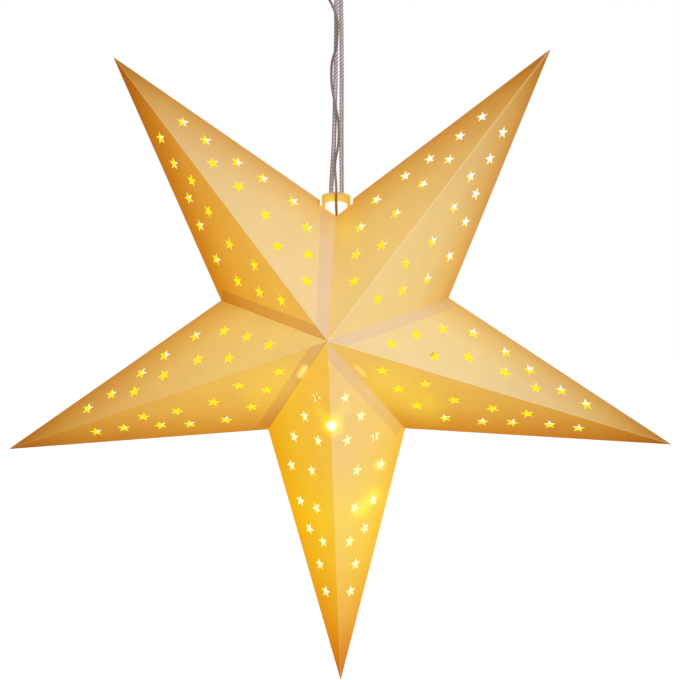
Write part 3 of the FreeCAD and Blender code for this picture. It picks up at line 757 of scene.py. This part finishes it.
def with_folds(nodes, glow, index, place):
    """Painted shade in a valley a flap lies behind, painted light in an open one, a painted highlight on the ridge."""
    banded = [side for side, notch_width in card_bands(index)]
    for side in (1, -1):
        notch = notch_of(index, side)
        away = crease_distance(nodes, place, notch)
        ahead = nodes.math("GREATER_THAN", nodes.dot(place, tuple(notch.normalized())), 0.0)
        reach, tint = SHADED_BANDED_VALLEY if side in banded else LIT_OPEN_VALLEY
        line = nodes.math("MULTIPLY", nodes.between(away, reach * VALLEY_CORE, reach, 1.0, 0.0), ahead)
        glow = nodes.mix(line, glow, nodes.tinted(glow, tint))
    away = crease_distance(nodes, place, at_angle(tip_angle(index)))
    reach, strength = RIDGE_HIGHLIGHT_LINE[CARD_NAMES[index]]
    return nodes.mix(nodes.between(away, RIDGE_CORE, reach, strength, 0.0), glow, RIDGE_HIGHLIGHT_COLOUR)


def with_spots(nodes, glow, flat, is_front):
    """The glow with the lights close behind the front paper."""
    for start, end, core, halo, strength, colour in GLOW_SPOTS:
        away = distance_to_segment(nodes, flat, start, end)
        spread = nodes.math("MULTIPLY", nodes.between(away, 0.0, halo, strength, 0.0), is_front)
        glow = nodes.mix(spread, glow, colour)
        if core:
            hot = nodes.between(away, core * HOT_EDGE[0], core * HOT_EDGE[1], 1.0, 0.0)
            glow = nodes.mix(nodes.math("MULTIPLY", hot, is_front), glow, HOT_WHITE)
    return glow


def inner_glow(nodes, card, place):
    """Glow of a card's inner face, whitest near the lights."""
    nearness = 0.0
    for light_place, along, outward in LIGHTS:
        away = nodes.distance(place, tuple(light_place - STAR_CENTRE))
        near = nodes.between(away, 0.0, INNER_WHITE_REACH, INNER_WHITE_SHARE, 0.0)
        nearness = nodes.math("ADD", nearness, near)
    return nodes.mix(nodes.math("MINIMUM", nearness, 1.0), INNER_GLOW[card], INNER_WHITE)


def paper_material(index):
    """Folded card lit from inside. Outer face, inner face and cut edge are told apart by how far the face's plane
    lies from the star's centre."""
    card = CARD_NAMES[index]
    nodes = Nodes("paper_" + card)
    place = nodes.offset(nodes.place(), tuple(-STAR_CENTRE))
    normal = nodes.normal()
    parts = nodes.add("ShaderNodeSeparateXYZ", place)
    x, y, z = (parts.outputs[axis] for axis in "XYZ")
    height = nodes.math("ABSOLUTE", y)
    folded = nodes.add("ShaderNodeCombineXYZ", x, nodes.math("MULTIPLY", height, -1.0), z).outputs[0]
    flat = nodes.add("ShaderNodeCombineXYZ", x, 0.0, z).outputs[0]
    is_front = nodes.math("LESS_THAN", y, 0.0)
    plane_reach = nodes.dot(normal, place)
    is_outer = nodes.math("COMPARE", plane_reach, OUTER_REACH, REACH_SLACK)
    is_inner = nodes.math("COMPARE", plane_reach, INNER_REACH, REACH_SLACK)

    # painted light and shade: how far a face turns toward the lamp, 0 turned away, 1 turned to it
    lamp_facing = nodes.between(nodes.dot(normal, tuple(at_angle(LAMP_ANGLE))), -FACE_TURN, FACE_TURN, smooth=False)
    depth = nodes.math("DIVIDE", height, STAR_HALF_DEPTH)
    along_point = nodes.math("DIVIDE", nodes.dot(place, tuple(at_angle(tip_angle(index)))), STAR_RADIUS)
    glow, paper = face_colours(nodes, card, lamp_facing, depth, along_point)

    clouds = nodes.noise(place, scale=55.0, detail=4.0, roughness=0.6)
    fibres = nodes.noise(place, scale=1400.0, detail=3.0, roughness=0.7)
    flecks = nodes.math("MULTIPLY", nodes.between(clouds, 0.25, 0.75, *CLOUD_SHADES, smooth=False),
                        nodes.between(fibres, 0.3, 0.7, *FIBRE_SHADES, smooth=False))
    glow = nodes.tinted(glow, nodes.grey(flecks))

    glow, paper = with_flap_shadows(nodes, glow, paper, index, folded, lamp_facing)
    glow = with_folds(nodes, glow, index, place)
    glow = with_spots(nodes, glow, flat, is_front)
    glow = nodes.mix(is_outer, CUT_EDGE_GLOW, glow)
    glow = nodes.mix(is_inner, glow, inner_glow(nodes, card, place))
    # painted shade: cut edges and inner faces take a dark paper colour
    paper = nodes.mix(is_outer, SHADED_EDGE_AND_INNER_PAPER, paper)

    nodes.bump(nodes.math("ADD", fibres, nodes.noise(place, scale=90.0)), strength=0.12, distance=0.0004)
    return nodes.surface(
        Base_Color=paper, Emission_Color=glow, Emission_Strength=1.0, Roughness=0.7, Specular_IOR_Level=0.15)


for card_index, card_name in enumerate(CARD_NAMES):
    dress(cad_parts[card_name], paper_material(card_index))


# ---------------------------------------------------------------- cord, flex and lights

# painted shade: the yarn darker between the stitches than on their crowns
YARN_RELIEF_SHADING = [  # from between the stitches to their crowns
    (0.0, from_screen(92, 81, 83)), (0.36, from_screen(150, 136, 138)), (0.62, from_screen(200, 186, 188)),
    (1.0, from_screen(230, 219, 222)),
]
# the yarn gives off painted soft light of its own colour, to even out its shading
YARN_SHARE_LIT = (0.60, 0.60, 0.60)     # of the yarn's colour that the lamps light, and what soft light adds
YARN_SOFT_LIGHT = 0.27

FLEX_GREY = (from_screen(124, 106, 100), from_screen(160, 142, 135))
# painted light: the flex's colour where the lights inside the star shine on it
FLEX_LIT_BY_LIGHTS = (from_screen(112, 66, 14), from_screen(150, 96, 26))
# painted shade in the groove between the two wires
FLEX_GROOVE_SHADE = (0.36, 0.33, 0.31)
FLEX_GLOW_INSIDE = from_screen(236, 168, 40)
FLEX_GLOW_OUTSIDE = from_screen(178, 116, 22)
FLEX_LIGHT_INSIDE = 0.85
FLEX_LIGHT_OUTSIDE = 0.35
FLEX_LIT_BELOW = -0.287     # the flex takes the lights' colour under this height, and none of it above the next
FLEX_GREY_ABOVE = -0.276

SLEEVE_PLASTIC = ((0.45, 0.36, 0.20), (0.62, 0.54, 0.36))
SLEEVE_GLOW = (from_screen(248, 188, 60), from_screen(255, 222, 110))
LENS_GLASS = (0.8, 0.72, 0.5)
LENS_GLOW = (from_screen(255, 238, 160), from_screen(255, 252, 225))


def knit_material():
    """Lilac-grey yarn with loose fibres: pale stitches, painted shade between them, and a painted glow of its own."""
    nodes = Nodes("knitted_cord")
    place = nodes.place()
    yarn = nodes.ramp(nodes.relief(), YARN_RELIEF_SHADING)
    fibres = nodes.noise(place, scale=5200.0, detail=2.0, roughness=0.7)
    uneven = nodes.noise(place, scale=130.0, detail=2.0)
    shade = nodes.math("MULTIPLY", nodes.between(fibres, 0.25, 0.75, 0.84, 1.12, smooth=False),
                       nodes.between(uneven, 0.3, 0.7, 0.93, 1.05, smooth=False))
    yarn = nodes.tinted(yarn, nodes.grey(shade))
    nodes.bump(fibres, strength=0.35, distance=0.0002)
    return nodes.surface(
        Base_Color=nodes.tinted(yarn, YARN_SHARE_LIT), Roughness=0.88, Sheen_Weight=0.2, Sheen_Roughness=0.5,
        Emission_Color=yarn, Emission_Strength=YARN_SOFT_LIGHT)


def flex_material(name, inside):
    """Clear jacket over two copper wires. Inside the star it takes the lights' colour."""
    nodes = Nodes(name)
    place = nodes.place()
    height = nodes.add("ShaderNodeSeparateXYZ", place).outputs["Z"]
    lit = 1.0 if inside else nodes.between(height, FLEX_LIT_BELOW, FLEX_GREY_ABOVE, 1.0, 0.0)
    grime = nodes.noise(place, scale=420.0)
    colour = nodes.mix(lit, nodes.mix(grime, *FLEX_GREY), nodes.mix(grime, *FLEX_LIT_BY_LIGHTS))
    # painted shade in the groove between the wires
    colour = nodes.mix(nodes.relief(), nodes.tinted(colour, FLEX_GROOVE_SHADE), colour)
    nodes.bump(grime, strength=0.15, distance=0.0002)
    glow, strength = FLEX_GLOW_INSIDE, FLEX_LIGHT_INSIDE
    if not inside:
        glow, strength = FLEX_GLOW_OUTSIDE, nodes.math("MULTIPLY", lit, FLEX_LIGHT_OUTSIDE)
    return nodes.surface(
        Base_Color=colour, Roughness=0.5, Specular_IOR_Level=0.25, Coat_Weight=0.08, Coat_Roughness=0.25,
        Emission_Color=glow, Emission_Strength=strength)


def sleeve_material():
    """Clear shrunk sleeve, lit by the lens beside it."""
    nodes = Nodes("shrunk_sleeve")
    ripple = nodes.noise(nodes.place(), scale=700.0)
    nodes.bump(ripple, strength=0.2, distance=0.0002)
    return nodes.surface(
        Base_Color=nodes.mix(ripple, *SLEEVE_PLASTIC), Roughness=0.2, Emission_Color=nodes.mix(ripple, *SLEEVE_GLOW),
        Emission_Strength=0.7, Coat_Weight=0.4)


def lens_material():
    """Warm white lens, a little uneven."""
    nodes = Nodes("lit_lens")
    grain = nodes.noise(nodes.place(), scale=900.0)
    nodes.bump(grain, strength=0.05, distance=0.0001)
    return nodes.surface(
        Base_Color=LENS_GLASS, Roughness=0.12, Emission_Color=nodes.mix(grain, *LENS_GLOW), Emission_Strength=1.5,
        Coat_Weight=0.5)


# ---------------------------------------------------------------- cap and battery box

CAP_ROUNDING = 0.0016
CAP_ROUNDING_SEGMENTS = 4
CAP_ROUNDED_ABOVE = math.radians(40.0)
CAP_LOW = 0.110             # its foot and its crown, above the star's centre
CAP_HIGH = 0.1195
CAP_MIDDLE = (0.002, 0.0125)    # from the axis: where its bright middle starts to fade and where it ends
CAP_BRIGHT = [  # in its middle, from the foot to the crown
    (0.0, (0.84, 0.60, 0.0)), (0.37, (0.82, 0.56, 0.0)), (0.55, (0.79, 0.48, 0.0)), (0.73, (0.66, 0.395, 0.06)),
    (0.90, (0.50, 0.31, 0.09)), (1.0, (0.38, 0.23, 0.07)),
]
CAP_DIM = [  # at its sides
    (0.0, (0.64, 0.33, 0.0)), (0.5, (0.62, 0.32, 0.0)), (0.73, (0.58, 0.31, 0.03)), (1.0, (0.33, 0.22, 0.09)),
]
CAP_PATCHES = (0.62, 0.27, 0.0)
CAP_PATCH_SHARE = 0.4
CAP_PLASTIC = ((0.14, 0.105, 0.04), (0.20, 0.155, 0.06))

CELL_END = (0.55, 0.55, 0.54)
CELL_NUB = (0.60, 0.60, 0.59)
CELL_WRAP = (0.030, 0.033, 0.042)
CELL_BAND = (0.56, 0.30, 0.13)
CELL_RAMP = [  # from the flat end to the nub
    (0.0, CELL_END), (0.012, CELL_END), (0.02, CELL_WRAP), (0.70, CELL_WRAP), (0.712, CELL_BAND), (0.955, CELL_BAND),
    (0.965, CELL_END), (1.0, CELL_NUB),
]
CELL_WRAPPED = (0.49, 0.475)    # middle and half length of the wrapped part, as shares of the cell's height
CELL_SCUFFS = (0.4, 0.4, 0.4)
SCUFF_SHIFT = 1.7           # between the scuffs of two cells

BOARD_MASK = ((0.010, 0.085, 0.034), (0.018, 0.130, 0.052))
BOARD_TRACK = (0.030, 0.21, 0.080)
BOARD_PAD = (0.62, 0.60, 0.56)
TRACK_PITCH = 1.1           # mm, half the distance between two tracks
RUBBER = (0.020, 0.019, 0.018)
RUBBER_BLOOM = (0.075, 0.072, 0.068)


def cap_material():
    """Translucent moulding, lit from below: tan on its crown, yellow over the opening, patchy all over."""
    nodes = Nodes("cap_moulding")
    place = nodes.offset(nodes.place(), tuple(-STAR_CENTRE))
    parts = nodes.add("ShaderNodeSeparateXYZ", place)
    rise = nodes.between(parts.outputs["Z"], CAP_LOW, CAP_HIGH, 0.0, 1.0, smooth=False)
    middle = nodes.between(nodes.math("ABSOLUTE", parts.outputs["X"]), *CAP_MIDDLE, 1.0, 0.0)
    glow = nodes.mix(middle, nodes.ramp(rise, CAP_DIM), nodes.ramp(rise, CAP_BRIGHT))
    swirl = nodes.noise(place, scale=320.0, detail=3.0, roughness=0.6)
    patches = nodes.between(swirl, 0.45, 0.62)
    glow = nodes.mix(nodes.math("MULTIPLY", patches, CAP_PATCH_SHARE), glow, CAP_PATCHES)
    grain = nodes.noise(place, scale=1500.0, detail=2.0)
    nodes.bump(nodes.math("ADD", grain, swirl), strength=0.1, distance=0.0003)
    return nodes.surface(
        Base_Color=nodes.mix(swirl, *CAP_PLASTIC), Roughness=0.32, Emission_Color=glow, Emission_Strength=1.0,
        Coat_Weight=0.2)


def round_cap():
    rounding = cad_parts["hanger_cap"].modifiers.new("rounding", "BEVEL")
    rounding.width = CAP_ROUNDING
    rounding.segments = CAP_ROUNDING_SEGMENTS
    rounding.limit_method = "ANGLE"
    rounding.angle_limit = CAP_ROUNDED_ABOVE
    rounding.use_clamp_overlap = True


def moulding_material(name, light, dark, worn, roughness):
    """Spark-textured plastic, a little worn and dusty."""
    nodes = Nodes(name)
    place = nodes.place()
    texture = nodes.noise(place, scale=2600.0, detail=2.0, roughness=0.6)
    clouds = nodes.noise(place, scale=38.0, detail=4.0, roughness=0.6)
    colour = nodes.mix(nodes.between(clouds, 0.3, 0.7), dark, light)
    streaks = nodes.noise(nodes.scaled(place, (160.0, 160.0, 14.0)), scale=3.0, detail=3.0, roughness=0.6)
    rubbed = nodes.math("MULTIPLY", nodes.between(streaks, 0.60, 0.74), 0.5)
    colour = nodes.mix(rubbed, colour, worn)
    gloss = nodes.between(streaks, 0.3, 0.7, roughness - 0.08, roughness + 0.1, smooth=False)
    nodes.bump(texture, strength=0.22, distance=0.00018)
    return nodes.surface(Base_Color=colour, Roughness=gloss)


def metal_material(name, light, dark):
    """Nickel-plated strip, rolled lengthwise, with handling marks."""
    nodes = Nodes(name)
    place = nodes.place()
    rolled = nodes.noise(nodes.scaled(place, (900.0, 900.0, 40.0)), scale=1.0, detail=3.0, roughness=0.6)
    marks = nodes.noise(place, scale=260.0, detail=4.0, roughness=0.65)
    colour = nodes.mix(nodes.between(marks, 0.35, 0.7), light, dark)
    gloss = nodes.between(rolled, 0.2, 0.8, 0.22, 0.42, smooth=False)
    nodes.bump(rolled, strength=0.12, distance=0.0001)
    return nodes.surface(Base_Color=colour, Roughness=gloss, Metallic=1.0)


def height_span(piece):
    """Lowest and highest height of a piece."""
    heights = [(piece.matrix_world @ Vector(corner)).z for corner in piece.bound_box]
    return min(heights), max(heights)


def cell_material(number, cell):
    """Cell in a plain wrap: dark over most of its length with a copper band at one end, bare metal ends."""
    nodes = Nodes("cell_wrap_%d" % number)
    place = nodes.place()
    height = nodes.add("ShaderNodeSeparateXYZ", place).outputs["Z"]
    along = nodes.between(height, *height_span(cell), 0.0, 1.0, smooth=False)
    wrap = nodes.ramp(along, CELL_RAMP)
    scuffs = nodes.noise(nodes.offset(place, (number * SCUFF_SHIFT, 0.0, 0.0)), scale=190.0, detail=4.0, roughness=0.7)
    wrap = nodes.mix(nodes.math("MULTIPLY", nodes.between(scuffs, 0.58, 0.72), 0.3), wrap, CELL_SCUFFS)
    wrapped = nodes.math("COMPARE", along, *CELL_WRAPPED)
    shine = nodes.between(wrapped, 0.0, 1.0, 1.0, 0.55, smooth=False)
    nodes.bump(scuffs, strength=0.08, distance=0.0002)
    return nodes.surface(Base_Color=wrap, Metallic=shine, Roughness=0.3, Coat_Weight=0.3)


def board_material():
    """Solder mask over copper tracks, with tinned pads."""
    nodes = Nodes("board_mask")
    place = nodes.place()
    across = nodes.math("MULTIPLY", nodes.add("ShaderNodeSeparateXYZ", place).outputs["X"], MM)
    lanes = nodes.math("PINGPONG", across, TRACK_PITCH)
    wander = nodes.noise(nodes.scaled(place, (60.0, 60.0, 260.0)), scale=1.0, detail=1.0)
    lanes = nodes.math("ADD", lanes, nodes.math("MULTIPLY", wander, 1.4))
    tracks = nodes.between(lanes, 1.30, 1.42)
    colour = nodes.mix(tracks, nodes.mix(nodes.noise(place, scale=500.0), *BOARD_MASK), BOARD_TRACK)
    cells = nodes.add("ShaderNodeTexVoronoi", feature="F1")
    nodes.feed(cells.inputs["Vector"], place)
    cells.inputs["Scale"].default_value = 330.0
    pads = nodes.between(cells.outputs["Distance"], 0.13, 0.17, 1.0, 0.0)
    colour = nodes.mix(pads, colour, BOARD_PAD)
    nodes.bump(nodes.math("ADD", tracks, pads), strength=0.2, distance=0.0001)
    return nodes.surface(Base_Color=colour, Metallic=pads, Roughness=nodes.between(pads, 0.0, 1.0, 0.42, 0.28))


def rubber_material():
    """Matt rubber with a grey bloom."""
    nodes = Nodes("grommet_rubber")
    place = nodes.place()
    bloom = nodes.noise(place, scale=240.0, detail=4.0, roughness=0.65)
    colour = nodes.mix(nodes.between(bloom, 0.4, 0.75), RUBBER, RUBBER_BLOOM)
    nodes.bump(nodes.noise(place, scale=1800.0, detail=2.0), strength=0.25, distance=0.0002)
    return nodes.surface(Base_Color=colour, Roughness=nodes.between(bloom, 0.2, 0.8, 0.6, 0.85))


dress(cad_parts["hanger_cap"], cap_material())
round_cap()
case_moulding = moulding_material(
    "case_moulding", light=(0.76, 0.74, 0.70), dark=(0.70, 0.68, 0.64), worn=(0.84, 0.83, 0.80), roughness=0.46)
switch_moulding = moulding_material(
    "switch_moulding", light=(0.030, 0.030, 0.032), dark=(0.018, 0.018, 0.020), worn=(0.09, 0.09, 0.09),
    roughness=0.38)
nickel = metal_material("nickel_strip", light=(0.72, 0.70, 0.66), dark=(0.50, 0.48, 0.45))
for names, material in (
    (("battery_case", "battery_lid"), case_moulding),
    (("switch_body", "switch_knob"), switch_moulding),
    (("contact_springs", "contact_plates"), nickel),
):
    for name in names:
        dress(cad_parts[name], material)
for number in (1, 2, 3):
    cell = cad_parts["aa_cell_%d" % number]
    dress(cell, cell_material(number, cell))
dress(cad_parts["timer_board"], board_material())
dress(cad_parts["flex_grommet"], rubber_material())
knit = knit_material()
dress(hanging_cord, knit)
dress(cord_knot, knit)
dress(lead_flex, flex_material("flex_jacket_outside", False))
dress(string_flex, flex_material("flex_jacket_inside", True))
dress(led_sleeves, sleeve_material())
dress(led_lenses, lens_material())

for piece, node, slot in (
    (hanging_cord, "hanging_cord", "braided_cord"),
    (cord_knot, "cord_knot", "braided_cord"),
    (lead_flex, "lead_flex", "flex_jacket"),
    (string_flex, "string_flex", "flex_jacket"),
    (led_sleeves, "led_sleeves", "led_sleeve"),
    (led_lenses, "led_lenses", "led_lens"),
):
    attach(piece, "root")
    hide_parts(node)

tuple(hanging_line[0])
line_length(hanging_line)
tuple(lead_line[0])
line_length(lead_line)
tuple(string_line[0])
line_length(string_line)


# ---------------------------------------------------------------- stage

LAMP_SIZE = 1.2
LAMPS = [("key", (1.5, -2.2, 1.0), 60.0), ("rear", (1.5, 2.2, 1.0), 50.0)]  # name, place and power
WORLD_LEVEL = 0.3           # of its light on the object, where what is seen of it is 1
FLOOR_HEIGHT = -1.5
FLOOR_REACH = 12.0
FLOOR_PAINT = (0.6, 0.6, 0.6)
FLOOR_WHITENING = 0.82      # where the camera sees it


def add_area_lamp(name, place, power):
    """Lamp that is aimed at the star's centre."""
    data = bpy.data.lights.new(name, "AREA")
    data.size = LAMP_SIZE
    data.energy = power
    lamp = bpy.data.objects.new(name, data)
    lamp.location = place
    lamp.rotation_euler = (STAR_CENTRE - Vector(place)).to_track_quat("-Z", "Y").to_euler()
    bpy.context.scene.collection.objects.link(lamp)


def add_world():
    """White where it is seen, straight, in gloss or through glass, and softer as a light."""
    world = bpy.data.worlds.new("studio")
    world.use_nodes = True
    bpy.context.scene.world = world
    tree = world.node_tree
    path = tree.nodes.new("ShaderNodeLightPath")
    seen = path.outputs["Is Camera Ray"]
    for ray in ("Is Glossy Ray", "Is Transmission Ray"):
        either = tree.nodes.new("ShaderNodeMath")
        either.operation = "MAXIMUM"
        tree.links.new(seen, either.inputs[0])
        tree.links.new(path.outputs[ray], either.inputs[1])
        seen = either.outputs[0]
    strength = tree.nodes.new("ShaderNodeMapRange")
    strength.inputs["To Min"].default_value = WORLD_LEVEL
    strength.inputs["To Max"].default_value = 1.0
    tree.links.new(seen, strength.inputs["Value"])
    background = tree.nodes["Background"]
    background.inputs["Color"].default_value = (1.0, 1.0, 1.0, 1.0)
    tree.links.new(strength.outputs["Result"], background.inputs["Strength"])


def add_floor():
    mesh = bpy.data.meshes.new("floor")
    corners = ((-1, -1), (1, -1), (1, 1), (-1, 1))
    mesh.from_pydata([(x * FLOOR_REACH, y * FLOOR_REACH, FLOOR_HEIGHT) for x, y in corners], [], [(0, 1, 2, 3)])
    floor = bpy.data.objects.new("floor", mesh)
    bpy.context.scene.collection.objects.link(floor)
    nodes = Nodes("floor_paint")
    path = nodes.add("ShaderNodeLightPath")
    dress(floor, nodes.surface(
        Base_Color=FLOOR_PAINT, Roughness=0.9, Emission_Color=(1.0, 1.0, 1.0),
        Emission_Strength=nodes.math("MULTIPLY", path.outputs["Is Camera Ray"], FLOOR_WHITENING)))


add_world()
for name, place, power in LAMPS:
    add_area_lamp(name, place, power)
add_floor()
bpy.context.scene.view_settings.view_transform = "Standard"
